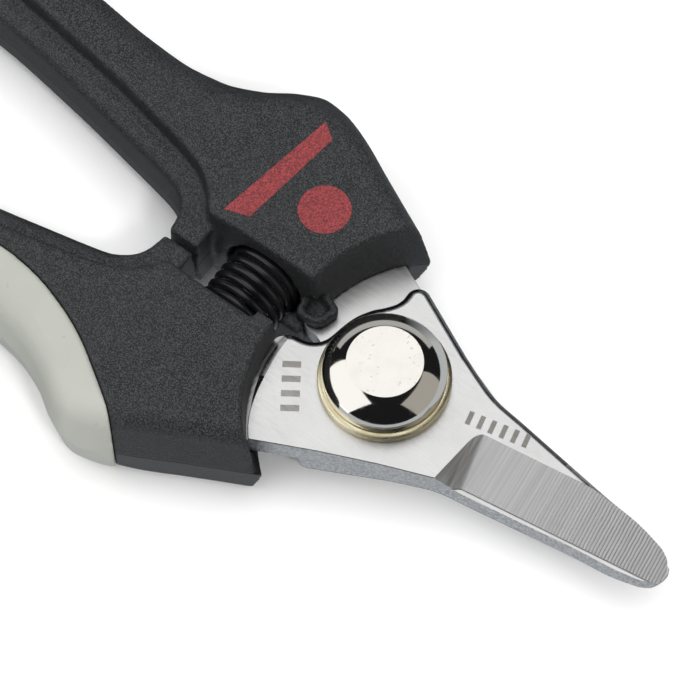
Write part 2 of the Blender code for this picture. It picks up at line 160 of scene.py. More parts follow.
# The upper handle's plan, as heights y over x.
OUTER_EDGE = [
    (-3.5, 14.9), (-8.0, 17.1), (-13.0, 19.6), (-18.5, 22.4), (-21.5, 23.5), (-24.0, 23.8),
    (-27.0, 22.7), (-30.5, 20.5), (-35.0, 18.7), (-40.0, 17.9), (-45.0, 18.1), (-50.0, 18.7),
    (-60.0, 20.0), (-75.0, 21.2), (-90.0, 21.0), (-105.0, 19.3), (-118.0, 16.6), (-130.0, 13.1),
    (-133.5, 11.9), (-136.5, 10.4), (-139.5, 10.1), (-142.0, 8.8), (-143.6, 7.2),
]
PANEL_EDGE = [
    (-3.5, POCKET_WALL_Y), (-25.9, POCKET_WALL_Y), (-26.5, 3.6), (-27.2, 4.6), (-28.5, 5.9),
    (-30.5, 7.2), (-34.0, 8.3), (-38.0, 9.2), (-44.0, 10.5), (-50.0, 11.5), (-60.0, 13.0),
    (-75.0, 14.2), (-90.0, 13.8), (-105.0, 11.2), (-114.0, 8.5), (-118.0, 7.2), (-130.0, 4.3),
    (-137.0, 2.9), (-141.0, 2.8), (-143.6, 4.4),
]
LEDGE_EDGE = [
    (-25.2, STOP_Y), (-29.0, STOP_Y), (-29.1, 1.2), (-29.5, 2.8), (-30.5, 4.1), (-32.3, 5.0),
    (-36.0, 5.9), (-40.0, 6.7), (-45.0, 7.7), (-50.0, 8.6), (-60.0, 10.1), (-75.0, 11.2),
    (-90.0, 11.1), (-105.0, 9.4), (-114.0, 7.8), (-118.0, 7.3),
]
GRIP_EDGE = [
    (-15.0, 26.3), (-19.0, 22.7), (-21.0, 20.9), (-24.5, 18.5), (-28.0, 16.3), (-32.0, 14.5),
    (-37.0, 13.1), (-43.0, 12.8), (-55.0, 14.3), (-75.0, 16.0), (-95.0, 15.6), (-110.0, 14.0),
    (-120.0, 14.6), (-127.0, 17.5),
]

# The near blade's plan from the heel corner round the tip, without its tang.
SPINE = [
    (5.5, 7.5), (8.0, 6.4), (11.0, 5.3), (15.0, 4.7), (20.0, 3.95), (26.8, 2.95), (31.0, 2.5),
    (34.4, 1.85),
]
TIP = [(35.5, 1.3), (36.1, 0.5), (36.35, -0.4), (36.1, -1.1)]
LOWER_EDGE = [(10.8, -6.1), (5.0, -8.3), (-1.0, -10.85), (-7.4, -13.85)]
HEAD_NOTCH = [
    (-12.7, -3.2), (-12.5, -2.4), (-11.9, -1.7), (-11.0, -1.2), (-9.6, -0.95), (-8.6, -0.35),
    (-8.05, 0.4), (-7.8, 1.2), (-7.4, 3.2), (-6.9, 4.7), (-6.0, 6.2), (-5.2, 7.1), (-4.4, 8.2),
    (-4.1, 9.1),
]
HEEL_CENTRE = (-2.7, 10.0)
HEEL_R = 1.4
TANG = [
    (-9.0, -14.5), (-13.0, -16.2), (-20.0, -17.3), (-30.0, -16.0), (-45.0, -15.4), (-56.5, -15.9),
    (-58.5, -14.6), (-57.0, -13.0), (-45.0, -12.0), (-30.0, -10.8), (-24.5, -9.6), (-13.6, -9.3),
    (-12.8, -8.4),
]

# The lug of the upper handle that wraps onto the far blade, and the recess in its top.
LUG = [
    (-12.6, 1.4), (-11.5, 1.35), (-10.3, 1.6), (-9.6, 2.2), (-9.4, 3.2), (-9.1, 4.0), (-9.4, 4.6),
    (-10.4, 4.95), (-12.4, 5.2), (-13.1, 4.0), (-13.1, 2.0),
]
LUG_TOP = 1.9
LUG_RIM = 0.75
LUG_FLOOR = 0.35

# The web in front of the spring, on the upper handle's far side.
WEB = [(-15.2, 3.8), (-15.2, 0.3), (-11.7, 0.3), (-11.2, 3.8)]
WEB_LOW = 0.4 - HALF_THICK

# The square corner between the gripped handle's pocket wall and its front wall.
FRONT_CORNER = [(-14.6, 2.8), (-9.0, 2.8), (-9.0, 6.0), (-14.6, 6.0)]
FRONT_CORNER_LOW = 0.1 - HALF_THICK

# Both of these stop just short of the parting line.
FILL_HIGH = -0.3

# Printed marks on the upper handle, in place of the maker's: a stripe and a dot.
STRIPE = [(-24.7, 4.7), (-22.1, 19.7), (-20.2, 18.3), (-21.9, 5.6)]
DOT_CENTRE = (-15.9, 11.0)
DOT_R = 2.9
PRINT_LOW = 0.1
PRINT_HIGH = 0.03

# Camera and lights.
CAMERA_AZIMUTH = 36.0
CAMERA_ELEVATION = 65.35
CAMERA_LENS = 195.0
CAMERA_DISTANCE = 0.3999
AIM_POINT = Vector((0.0, 0.0, 0.0108))
AIM_RIGHT = 0.0040
AIM_BELOW = 0.0033
HIGH_ROOM = 0.012
LOW_ROOM = 0.55

# The blade's materials, in the order of its slots.
FACE, BEVEL, SCOOP, SAWN, EDGE = range(5)

UP = Vector((0.0, 0.0, 1.0))
FLIP = Matrix.Rotation(math.pi, 4, "X")
UPRIGHT = Matrix.Identity(4)


# ---------------------------------------------------------------- curves and sections

def smooth_height(points):
    """A function y(x) through (x, y) points with falling x, smooth and without overshoot."""
    xs = [-x for x, _ in points]
    ys = [y for _, y in points]
    slopes = [(b - a) / (d - c) for a, b, c, d in zip(ys, ys[1:], xs, xs[1:])]
    tangents = [slopes[0]]
    for before, after in zip(slopes, slopes[1:]):
        tangents.append(2 * before * after / (before + after) if before * after > 0 else 0.0)
    tangents.append(slopes[-1])

    def height(x):
        at = min(max(-x, xs[0]), xs[-1])
        k = max(i for i in range(len(xs) - 1) if xs[i] <= at)
        width = xs[k + 1] - xs[k]
        t = (at - xs[k]) / width
        return (
            ys[k] * (1 + 2 * t) * (1 - t) ** 2 + ys[k + 1] * t * t * (3 - 2 * t)
            + width * (tangents[k] * t * (1 - t) ** 2 - tangents[k + 1] * t * t * (1 - t))
        )

    return height


def smooth_points(points, steps):
    """Points on a Catmull-Rom curve through the given points."""
    ends = [points[0], *points, points[-1]]
    made = []
    for a, b, c, d in zip(ends, ends[1:], ends[2:], ends[3:]):
        for k in range(steps):
            t = k / steps
            made.append(tuple(
                0.5 * (2 * q + (r - p) * t + (2 * p - 5 * q + 4 * r - s) * t ** 2
                       + (3 * q - p - 3 * r + s) * t ** 3)
                for p, q, r, s in zip(a, b, c, d)
            ))
    made.append(tuple(points[-1]))
    return made


def ramp(x, start, end, low, high):
    """low at start, high at end, with an even smooth change between them."""
    t = min(1.0, max(0.0, (x - start) / (end - start)))
    return low + (high - low) * t * t * (3 - 2 * t)


def arc(centre, radius, start_deg, end_deg, steps):
    made = []
    for k in range(steps + 1):
        angle = math.radians(start_deg + (end_deg - start_deg) * k / steps)
        made.append((centre[0] + radius * math.cos(angle), centre[1] + radius * math.sin(angle)))
    return made


def stations(points):
    """The x of the given points and a regular row of x between the first and the last."""
    first, last = points[0][0], points[-1][0]
    count = round((first - last) / STATION_STEP)
    made = {round(first + (last - first) * k / count, 3) for k in range(count + 1)}
    made |= {x for x, _ in points}
    return sorted(made, reverse=True)


def section(inner, outer, half, inner_r, outer_r, draft):
    """A rounded cross-section, as (y, z) points: widest at z = 0 and the same above and below."""
    top = [(outer, 0.0)]
    top += arc((outer - draft - outer_r, half - outer_r), outer_r, 0, 90, CORNER_SEGMENTS)
    top += arc((inner + draft + inner_r, half - inner_r), inner_r, 90, 180, CORNER_SEGMENTS)
    top.append((inner, 0.0))
    return top + [(y, -z) for y, z in reversed(top[1:-1])]


def offset_outline(outline, distances):
    """The outline with each point moved outwards by its own distance."""
    area = sum(a[0] * b[1] - b[0] * a[1] for a, b in zip(outline, outline[1:] + outline[:1]))
    side = math.copysign(1.0, area)
    made = []
    for k, here in enumerate(outline):
        before = Vector(here) - Vector(outline[k - 1])
        after = Vector(outline[(k + 1) % len(outline)]) - Vector(here)
        normal_a = Vector((before.y, -before.x)).normalized()
        normal_b = Vector((after.y, -after.x)).normalized()
        corner = (normal_a + normal_b).normalized()
        reach = side * distances[k] / max(0.5, corner.dot(normal_a))
        made.append((here[0] + corner.x * reach, here[1] + corner.y * reach))
    return made


# ---------------------------------------------------------------- meshes

def add(name, mesh):
    obj = bpy.data.objects.new(name, mesh)
    bpy.context.scene.collection.objects.link(obj)
    return obj


def mesh_from(bm, name):
    bmesh.ops.recalc_face_normals(bm, faces=bm.faces)
    if bm.calc_volume(signed=True) < 0:
        bmesh.ops.reverse_faces(bm, faces=bm.faces)
    mesh = bpy.data.meshes.new(name)
    bm.to_mesh(mesh)
    bm.free()
    return mesh


def as_mesh(obj, name, cutters=()):
    """Replace an object by the mesh that it evaluates to, and remove what cut it."""
    bpy.context.view_layer.update()
    evaluated = obj.evaluated_get(bpy.context.evaluated_depsgraph_get())
    mesh = bpy.data.meshes.new_from_object(evaluated)
    bm = bmesh.new()
    bm.from_mesh(mesh)
    bmesh.ops.remove_doubles(bm, verts=bm.verts, dist=MERGE)
    bmesh.ops.dissolve_degenerate(bm, dist=MERGE / 10, edges=bm.edges)
    bmesh.ops.transform(bm, matrix=obj.matrix_world, verts=bm.verts)
    for old in (obj, *cutters):
        bpy.data.objects.remove(old, do_unlink=True)
    made = add(name, mesh_from(bm, name))
    made.name = name
    return made


def prism(name, outline, low, high):
    """A flat outline in millimetres, extruded from z = low to z = high."""
    curve = bpy.data.curves.new(name, "CURVE")
    curve.dimensions = "2D"
    curve.fill_mode = "BOTH"
    curve.extrude = (high - low) / 2 * MM
    spline = curve.splines.new("POLY")
    spline.points.add(len(outline) - 1)
    for point, (x, y) in zip(spline.points, outline):
        point.co = (x * MM, y * MM, 0.0, 1.0)
    spline.use_cyclic_u = True
    obj = add(name, curve)
    obj.location.z = (low + high) / 2 * MM
    return as_mesh(obj, name)


def cylinder(name, radius, low, high, centre=(0.0, 0.0), segments=96):
    """A round solid on a vertical axis, in millimetres."""
    bm = bmesh.new()
    bmesh.ops.create_cone(
        bm,
        cap_ends=True,
        segments=segments,
        radius1=radius * MM,
        radius2=radius * MM,
        depth=(high - low) * MM,
        matrix=Matrix.Translation((centre[0] * MM, centre[1] * MM, (low + high) / 2 * MM)),
    )
    return add(name, mesh_from(bm, name))


def turned(name, profile, segments=128):
    """A solid of revolution about Z from (radius, z) points in millimetres, top to bottom."""
    bm = bmesh.new()
    verts = [bm.verts.new((r * MM, 0.0, z * MM)) for r, z in profile]
    for a, b in zip(verts, verts[1:]):
        bm.edges.new((a, b))
    if profile[0][0] > 0:
        bm.edges.new((verts[-1], verts[0]))
    mesh = bpy.data.meshes.new(name)
    bm.to_mesh(mesh)
    bm.free()
    obj = add(name, mesh)
    screw = obj.modifiers.new("turn", "SCREW")
    screw.axis = "Z"
    screw.angle = math.tau
    screw.steps = segments
    screw.render_steps = segments
    screw.use_merge_vertices = True
    screw.merge_threshold = MERGE
    screw.use_normal_calculate = True
    return as_mesh(obj, name)


def shell(name, rings):
    """A closed solid through a row of rings of points in millimetres, with a flat face at each end."""
    bm = bmesh.new()
    rings = [[bm.verts.new(Vector(point) * MM) for point in ring] for ring in rings]
    for near, far in zip(rings, rings[1:]):
        for k in range(len(near)):
            j = (k + 1) % len(near)
            bm.faces.new((near[k], near[j], far[j], far[k]))
    bm.faces.new(rings[0])
    bm.faces.new(rings[-1])
    return add(name, mesh_from(bm, name))


def loft(name, sections):
    """A solid through a row of (x, points) sections that all have the same number of points."""
    return shell(name, [[(x, y, z) for y, z in points] for x, points in sections])


def wire(name, points, radius, resolution=4):
    """A round wire along a row of points in millimetres."""
    curve = bpy.data.curves.new(name, "CURVE")
    curve.dimensions = "3D"
    curve.bevel_depth = radius * MM
    curve.bevel_resolution = resolution
    curve.use_fill_caps = True
    spline = curve.splines.new("POLY")
    spline.points.add(len(points) - 1)
    for point, (x, y, z) in zip(spline.points, points):
        point.co = (x * MM, y * MM, z * MM, 1.0)
    return as_mesh(add(name, curve), name)


def boolean(obj, other, operation):
    cut = obj.modifiers.new(operation.lower(), "BOOLEAN")
    cut.operation = operation
    cut.solver = "EXACT"
    cut.object = other
    return other


def soften(obj):
    """A moulded skin: every edge and inside corner gets a small radius."""
    skin = obj.modifiers.new("skin", "REMESH")
    skin.mode = "VOXEL"
    skin.voxel_size = SKIN_VOXEL * MM
    ease = obj.modifiers.new("ease", "SMOOTH")
    ease.factor = 0.5
    ease.iterations = SKIN_SMOOTH


def place(obj, turn, body, slot, looks, *nodes):
    """Turn and lift a finished piece, give it its looks and hang it on its body."""
    obj.data.transform(Matrix.Translation((0.0, 0.0, SHEAR_Z * MM)) @ turn)
    for look in looks:
        obj.data.materials.append(look)
    if nodes:
        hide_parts(*nodes)
    if body:
        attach(obj, body)
    return obj


# ---------------------------------------------------------------- handles

def half_thickness(x):
    """Half the handle's thickness: full at the head, thinner where the latch wire passes."""
    tail = ramp(x, *TAIL_THINS_X, HALF_THICK, TAIL_HALF)
    return ramp(x, -140.0, -144.0, tail, TAIL_HALF - 1.6)


def panel_sections(inset=0.0, bulge=0.0):
    """The handle's raised body. inset shrinks it all round and bulge swells its outer side."""
    inner_edge = smooth_height(PANEL_EDGE)
    outer_edge = smooth_height(OUTER_EDGE)
    made = []
    for x in stations(OUTER_EDGE):
        inner = inner_edge(x) + inset
        swell = bulge * ramp(x, -15.0, -26.0, 0.0, 1.0) * ramp(x, -118.0, -130.0, 1.0, 0.0)
        outer = outer_edge(x) - inset + swell
        half = half_thickness(x) - inset
        width = outer - inner
        outer_r = min(ramp(x, *CORNER_TO_ARM_X, 2.5, 4.2), 0.4 * width, 0.8 * half)
        inner_r = min(ramp(x, -104.0, -124.0, 0.6, 3.0), 0.4 * width, 0.6 * half)
        draft = min(ramp(x, *HEAD_TO_ARM_X, 0.75, 0.4), 0.08 * width)
        made.append((x, section(inner, outer, half, inner_r, outer_r, draft)))
    return made


def ledge_sections():
    """The lower ledge along the handle's inner side, with the stop at its front end."""
    inner_edge = smooth_height(LEDGE_EDGE)
    outer_edge = smooth_height(PANEL_EDGE)
    made = []
    for x in stations(LEDGE_EDGE):
        inner = inner_edge(x)
        outer = outer_edge(x) + 1.6
        half = min(LEDGE_HALF, half_thickness(x) - 0.5)
        inner_r = ramp(x, -29.0, -36.0, 0.5, 2.6)
        inner_r = min(inner_r, 0.35 * (outer - inner))
        made.append((x, section(inner, outer, half, inner_r, 0.3, 0.15)))
    return made


def grip_region(name, shrink):
    """Everything outward of the soft grip's edge, as a tall prism."""
    edge = [(x, y + shrink) for x, y in smooth_points(GRIP_EDGE, 8)]
    beyond = 40.0
    corners = [(edge[-1][0] + shrink, beyond), (edge[0][0] - shrink, beyond)]
    return prism(name, [*edge, *corners], -PAST_EVERYTHING, PAST_EVERYTHING)


def spring_bore(name):
    """The round groove that seats the spring, with the handle's own post left inside it."""
    depth = BORE_FLOOR_Y - POCKET_WALL_Y + 1.0
    bore = turned(name, [(POST_R, depth), (BORE_R, depth), (BORE_R, 0.0), (POST_R, 0.0)], 64)
    turn = Matrix.Rotation(-math.pi / 2, 4, "X")
    seat = Matrix.Translation((SPRING_X * MM, (POCKET_WALL_Y - 1.0) * MM, 0.0))
    bore.data.transform(seat @ turn)
    mouth = cylinder(name + "_mouth", POST_R + 0.2, -0.3, 2.2, segments=64)
    mouth.data.transform(seat @ turn)
    return as_mesh(bore, name, [boolean(bore, mouth, "UNION")])


def front_cutter(name, gripped):
    """What the curved front wall is cut with: drafted both ways from the parting line."""
    reach = HALF_THICK + 1.0
    profile = [(0.0, reach), (FRONT_R + FRONT_DRAFT * reach, reach), (FRONT_R, 0.0)]
    if gripped:
        profile.append((GRIPPED_FRONT_R, 0.0))
        profile.append((GRIPPED_FRONT_R + GRIPPED_FRONT_DRAFT * reach, -reach))
    else:
        profile.append((FRONT_R + FRONT_DRAFT * reach, -reach))
    cutter = turned(name, [*profile, (0.0, -reach)], 180)
    cutter.data.transform(Matrix.Translation((FRONT_CENTRE[0] * MM, FRONT_CENTRE[1] * MM, 0.0)))
    return cutter


def make_handle(name, gripped):
    """One handle in the upper handle's place."""
    body = loft(name + "_raw", panel_sections())
    used = []
    if gripped:
        used.append(boolean(body, grip_region("region", 0.0), "DIFFERENCE"))
        used.append(boolean(body, loft("core", panel_sections(inset=GRIP_DEPTH)), "UNION"))
        corner = prism("corner", FRONT_CORNER, FRONT_CORNER_LOW, FILL_HIGH)
        used.append(boolean(body, corner, "UNION"))
    used.append(boolean(body, loft("ledge", ledge_sections()), "UNION"))
    used.append(boolean(body, front_cutter("front", gripped), "DIFFERENCE"))
    used.append(boolean(body, prism("lug", LUG, 2 * SEAT_GAP, LUG_TOP), "UNION"))
    if not gripped:
        used.append(boolean(body, prism("web", WEB, WEB_LOW, FILL_HIGH), "UNION"))
    recess = prism("recess", offset_outline(LUG, [-LUG_RIM] * len(LUG)), LUG_FLOOR, LUG_TOP + 1.0)
    used.append(boolean(body, recess, "DIFFERENCE"))
    outline, _ = blade_rim(1)
    slot_plan = offset_outline(outline, [SLOT_GAP] * len(outline))
    slot = prism("slot", slot_plan, -SLOT_PLAY, BLADE_THICK + SLOT_PLAY)
    slot.data.transform(FLIP)
    used.append(boolean(body, slot, "DIFFERENCE"))
    used.append(boolean(body, spring_bore("bore"), "DIFFERENCE"))
    if not gripped:
        hole = cylinder("latch_hole", LATCH_HOLE_R, -9.0, 9.0, LATCH_PIVOT, 40)
        used.append(boolean(body, hole, "DIFFERENCE"))
    soften(body)
    body = as_mesh(body, name, used)
    body.data.shade_smooth()
    return body


def make_grip(name):
    grip = loft(name + "_raw", panel_sections(bulge=GRIP_BULGE))
    used = [
        boolean(grip, grip_region("region", GRIP_GAP), "INTERSECT"),
        boolean(grip, loft("core", panel_sections(inset=GRIP_DEPTH - GRIP_GAP)), "DIFFERENCE"),
    ]
    soften(grip)
    grip = as_mesh(grip, name, used)
    grip.data.shade_smooth()
    return grip


# ---------------------------------------------------------------- blades

def blade_rim(steps):
    """The near blade's plan with its tang, and the rounding of its upper edge at each point."""
    edge = []
    for x in (35.3, 30.0, 25.0, 20.0, 16.0, 13.2):
        edge.append((x, (-BEVEL_C0 - BEVEL_CX * x) / BEVEL_CY + EDGE_LAND))
    runs = [
        (arc(HEEL_CENTRE, HEEL_R, 180, 63, 6 * steps), HEEL_ROUND),
        (smooth_points(SPINE, steps), SPINE_ROUND),
        (smooth_points([SPINE[-1], *TIP], 2 * steps)[1:], TIP_ROUND),
        (edge + LOWER_EDGE + TANG, EDGE_ROUND),
        (smooth_points(HEAD_NOTCH, steps), HEEL_ROUND),
    ]
    outline = [point for points, _ in runs for point in points]
    radii = [radius for points, radius in runs for _ in points]
    for _ in range(4):
        after = radii[1:] + radii[:1]
        radii = [(radii[k - 1] + 2 * radii[k] + after[k]) / 4 for k in range(len(radii))]
    return outline, radii


def blade_body(name):
    """The flat blade blank: a thin chamfer below and a rounded edge above."""
    outline, radii = blade_rim(5)
    chamfered = offset_outline(outline, [-EDGE_ROUND] * len(outline))
    rings = [
        [(x, y, SLIDE_GAP) for x, y in chamfered],
        [(x, y, SLIDE_GAP + EDGE_ROUND) for x, y in outline],
    ]
    for k in range(ROUND_STEPS + 1):
        angle = math.radians(90.0 * k / ROUND_STEPS)
        plan = offset_outline(outline, [-radius * (1 - math.cos(angle)) for radius in radii])
        drop = 1 - math.sin(angle)
        rings.append([(x, y, BLADE_THICK - radius * drop) for (x, y), radius in zip(plan, radii)])
    return shell(name, rings)


def grind_cutter(name):
    """The stone that grinds the near blade's bevel: a flat bottom, a sloping end and a fillet."""
    bevel_up = Vector((-BEVEL_CX, -BEVEL_CY, 1.0)).normalized()
    along = Vector((STEP_TOP[0] - STEP_BOTTOM[0], STEP_TOP[1] - STEP_BOTTOM[1], 0.0)).normalized()
    down = Vector((STEP_RUN, 0.0, -BLADE_THICK))
    wall_out = along.cross(down).normalized()
    if wall_out.x < 0:
        wall_out.negate()
    line = bevel_up.cross(wall_out).normalized()
    start = Vector((STEP_TOP[0], STEP_TOP[1], BLADE_THICK))
    depth = BEVEL_C0 + BEVEL_CX * start.x + BEVEL_CY * start.y - BLADE_THICK
    floor_dir = line.cross(bevel_up).normalized()
    if floor_dir.x < 0:
        floor_dir.negate()
    wall_dir = line.cross(wall_out).normalized()
    if wall_dir.z < 0:
        wall_dir.negate()
    corner = start + wall_dir * (depth / (wall_dir.dot(bevel_up) / bevel_up.z))
    angle = floor_dir.angle(wall_dir)
    reach = STEP_FILLET / math.tan(angle / 2)
    middle = corner + (floor_dir + wall_dir).normalized() * (STEP_FILLET / math.sin(angle / 2))
    first = corner + floor_dir * reach - middle
    last = corner + wall_dir * reach - middle
    fillet = [middle + first.slerp(last, k / 12) * STEP_FILLET for k in range(13)]
    profile = [corner + floor_dir * 40.0, *fillet, corner + wall_dir * 9.0]
    profile.append(corner + wall_dir * 9.0 + floor_dir * 40.0)
    return shell(name, [[point + line * side for point in profile] for side in (-25.0, 25.0)])


def relief_cutter(name):
    """The sloping band on the face where the blade enters the handle, as part of a cone."""
    high = BLADE_THICK + 1.0
    low = BLADE_THICK - RELIEF_DROP
    first, last = RELIEF_ARC_DEG
    steps = 40
    rings = []
    for k in range(steps + 1):
        angle_deg = first + (last - first) * k / steps
        start = ramp(angle_deg, *RELIEF_NARROWING_DEG, RELIEF_START, RELIEF_END + 0.1)
        end = max(RELIEF_END, start + 0.1)
        lift = (high - BLADE_THICK) * (end - start) / RELIEF_DROP
        profile = [(start - lift, high), (end, low), (end + 2.4, low), (end + 2.4, high)]
        angle = math.radians(angle_deg)
        rings.append([
            (FRONT_CENTRE[0] + r * math.cos(angle), -FRONT_CENTRE[1] + r * math.sin(angle), z)
            for r, z in profile
        ])
    return shell(name, rings)


def make_blade(name):
    """One blade in the near blade's place, with its faces sorted into face, ground and sawn."""
    blade = blade_body(name + "_raw")
    used = [
        boolean(blade, grind_cutter("grind"), "DIFFERENCE"),
        boolean(blade, cylinder("hole", PIVOT_HOLE_R, -1.0, BLADE_THICK + 1.0), "DIFFERENCE"),
        boolean(blade, relief_cutter("relief"), "DIFFERENCE"),
    ]
    blade = as_mesh(blade, name, used)
    bevel_up = Vector((-BEVEL_CX, -BEVEL_CY, 1.0)).normalized()
    middle = Vector((FRONT_CENTRE[0], -FRONT_CENTRE[1])) * MM
    for face in blade.data.polygons:
        by_handle = (face.center.xy - middle).length > (RELIEF_START - 0.1) * MM
        sunk = 1.0 < face.center.z / MM < BLADE_THICK - 0.1
        if abs(face.normal.z) > 0.999:
            face.material_index = SCOOP if by_handle and sunk else FACE
        elif face.normal.dot(bevel_up) > 0.82 and face.center.x > 9 * MM:
            face.material_index = BEVEL
        elif face.normal.z < 0.1:
            face.material_index = SAWN
        elif face.center.x > 9 * MM and face.normal.y < 0:
            face.material_index = SCOOP
        elif by_handle and face.normal.z < 0.9:
            face.material_index = SCOOP
        else:
            face.material_index = EDGE
    smooth_by_angle(blade, 24)
    flat = blade.modifiers.new("flat", "WEIGHTED_NORMAL")
    flat.keep_sharp = True
    return blade


# ---------------------------------------------------------------- pivot, spring and latch

def make_bolt(name):
    """The pivot bolt: a domed head with a flat disc on top, a plain shoulder and a thread."""
    tilt, rim_tilt = (math.radians(angle) for angle in HEAD_FLANK_DEG)
    centre_r = HEAD_FLAT_R - HEAD_FLANK_R * math.sin(tilt)
    centre_z = HEAD_TOP - HEAD_FLANK_R * math.cos(tilt)
    flank = arc((centre_r, centre_z), HEAD_FLANK_R, 90 - HEAD_FLANK_DEG[0], 90 - HEAD_FLANK_DEG[1], 20)
    rest = HEAD_FLANK_R - HEAD_RIM_ROUND
    rim_centre = (centre_r + rest * math.sin(rim_tilt), centre_z + rest * math.cos(rim_tilt))
    head_r = rim_centre[0] + HEAD_RIM_ROUND
    profile = [(0.0, HEAD_TOP), (HEAD_FLAT_R - 1.5, HEAD_TOP), (HEAD_FLAT_R - 0.04, HEAD_TOP), *flank]
    profile += arc(rim_centre, HEAD_RIM_ROUND, 90 - HEAD_FLANK_DEG[1], 0, 6)[1:]
    foot = HEAD_FOOT_ROUND
    profile += arc((head_r - foot, HEAD_BASE + foot), foot, 0, -90, 6)
    nut_face = -BLADE_THICK - 2 * SEAT_GAP - BACK_WASHER_THICK
    profile += [(SHOULDER_R, HEAD_BASE), (SHOULDER_R, nut_face), (THREAD_R, nut_face)]
    root_r = THREAD_R - THREAD_DEPTH
    z = nut_face - 0.2
    while z > -SHEAR_Z + 1.2:
        profile += [(THREAD_R, z), (root_r, z - THREAD_PITCH / 2), (THREAD_R, z - THREAD_PITCH)]
        z -= THREAD_PITCH
    profile += [(THREAD_R, -SHEAR_Z + BOLT_END_CHAMFER), (THREAD_R - BOLT_END_CHAMFER, -SHEAR_Z)]
    profile.append((0.0, -SHEAR_Z))
    bolt = turned(name, profile)
    smooth_by_angle(bolt, 18)
    return bolt


def smooth_by_angle(obj, degrees=32):
    obj.data.shade_smooth()
    obj.data.set_sharp_from_angle(angle=math.radians(degrees))


def make_front_washer(name):
    """A brass washer with a crowned rim, which falls outwards, and a shallow dish inside it."""
    low = BLADE_THICK + SEAT_GAP / 2
    inner_deg, outer_deg = WASHER_CROWN_DEG
    rest = WASHER_CROWN_R - WASHER_RIM_ROUND
    lean = math.radians(outer_deg)
    rim = (WASHER_R - WASHER_RIM_ROUND, WASHER_TOP - WASHER_CROWN_R + rest * math.sin(lean))
    crown = (rim[0] - rest * math.cos(lean), WASHER_TOP - WASHER_CROWN_R)
    profile = [(PIVOT_HOLE_R, WASHER_DISH[1]), WASHER_DISH]
    profile += arc(crown, WASHER_CROWN_R, inner_deg, outer_deg, 10)
    profile += arc(rim, WASHER_RIM_ROUND, outer_deg, 0, 6)[1:]
    profile += [(WASHER_R, low + 0.12), (WASHER_R - 0.12, low), (PIVOT_HOLE_R, low)]
    washer = turned(name, profile)
    smooth_by_angle(washer)
    return washer


def ring(name, inner, outer, low, high, edge):
    """A flat ring whose four edges are rounded by edge."""
    profile = arc((inner + edge, high - edge), edge, 180, 90, 4)
    profile += arc((outer - edge, high - edge), edge, 90, 0, 4)
    profile += arc((outer - edge, low + edge), edge, 0, -90, 4)
    profile += arc((inner + edge, low + edge), edge, -90, -180, 4)
    made = turned(name, profile)
    smooth_by_angle(made)
    return made


def make_nut(name):
    """A hexagon with chamfered corners and a pocket for its locking ring."""
    top = -BLADE_THICK - 2 * SEAT_GAP - BACK_WASHER_THICK - SEAT_GAP
    low = -SHEAR_Z + 0.15
    corner = NUT_ACROSS_FLATS / 2 / math.cos(math.pi / 6)
    nut = cylinder(name + "_raw", corner, low, top, segments=6)
    flat = NUT_ACROSS_FLATS / 2 - 0.1
    rise = (corner - flat) * math.tan(math.radians(30))
    chamfer = turned("chamfer", [
        (0.0, top), (flat, top), (corner + 0.05, top - rise), (corner + 0.05, low + rise),
        (flat, low), (0.0, low),
    ])
    used = [
        boolean(nut, chamfer, "INTERSECT"),
        boolean(nut, cylinder("bore", THREAD_R + 0.1, low - 1, top + 1), "DIFFERENCE"),
        boolean(nut, cylinder("pocket", THREAD_R + 1.3, low - 1, low + LOCK_RING_THICK + 0.1),
                "DIFFERENCE"),
    ]
    nut = as_mesh(nut, name, used)
    rounded = nut.modifiers.new("rounded", "BEVEL")
    rounded.width = 0.12 * MM
    rounded.segments = 2
    rounded.limit_method = "ANGLE"
    rounded.angle_limit = math.radians(25)
    smooth_by_angle(nut)
    return nut


def make_spring(name):
    half = SPRING_TURNS * SPRING_PITCH / 2
    count = round(SPRING_TURNS * SPRING_STEPS)
    points = []
    for k in range(count + 1):
        angle = math.tau * k / SPRING_STEPS
        points.append((
            SPRING_X + SPRING_R * math.cos(angle),
            -half + 2 * half * k / count,
            SPRING_R * math.sin(angle),
        ))
    spring = wire(name, points, SPRING_WIRE_R, 3)
    smooth_by_angle(spring, 60)
    return spring


def make_latch(name):
    """A wire bail: two ends in the handle, two legs along its faces and a bar across."""
    leg = [(0.0, LATCH_STUB_Z), (0.0, LATCH_LEG_Z - LATCH_BEND_R)]
    leg += arc((LATCH_BEND_R, LATCH_LEG_Z - LATCH_BEND_R), LATCH_BEND_R, 180, 90, 10)[1:]
    far = LATCH_REACH - LATCH_BEND_R
    leg += arc((far, LATCH_LEG_Z - LATCH_BEND_R), LATCH_BEND_R, 90, 0, 10)
    path = leg + [(u, -z) for u, z in reversed(leg)]
    angle = math.radians(LATCH_PARKED_DEG)
    points = [
        (LATCH_PIVOT[0] + u * math.cos(angle), LATCH_PIVOT[1] + u * math.sin(angle), z)
        for u, z in path
    ]
    bail = wire(name, points, LATCH_WIRE_R, 5)
    smooth_by_angle(bail, 60)
    return bail


def make_print(name, outline):
    """A thin printed mark on the upper handle's face."""
    return prism(name, outline, HALF_THICK - PRINT_LOW, HALF_THICK + PRINT_HIGH)


# ---------------------------------------------------------------- materials

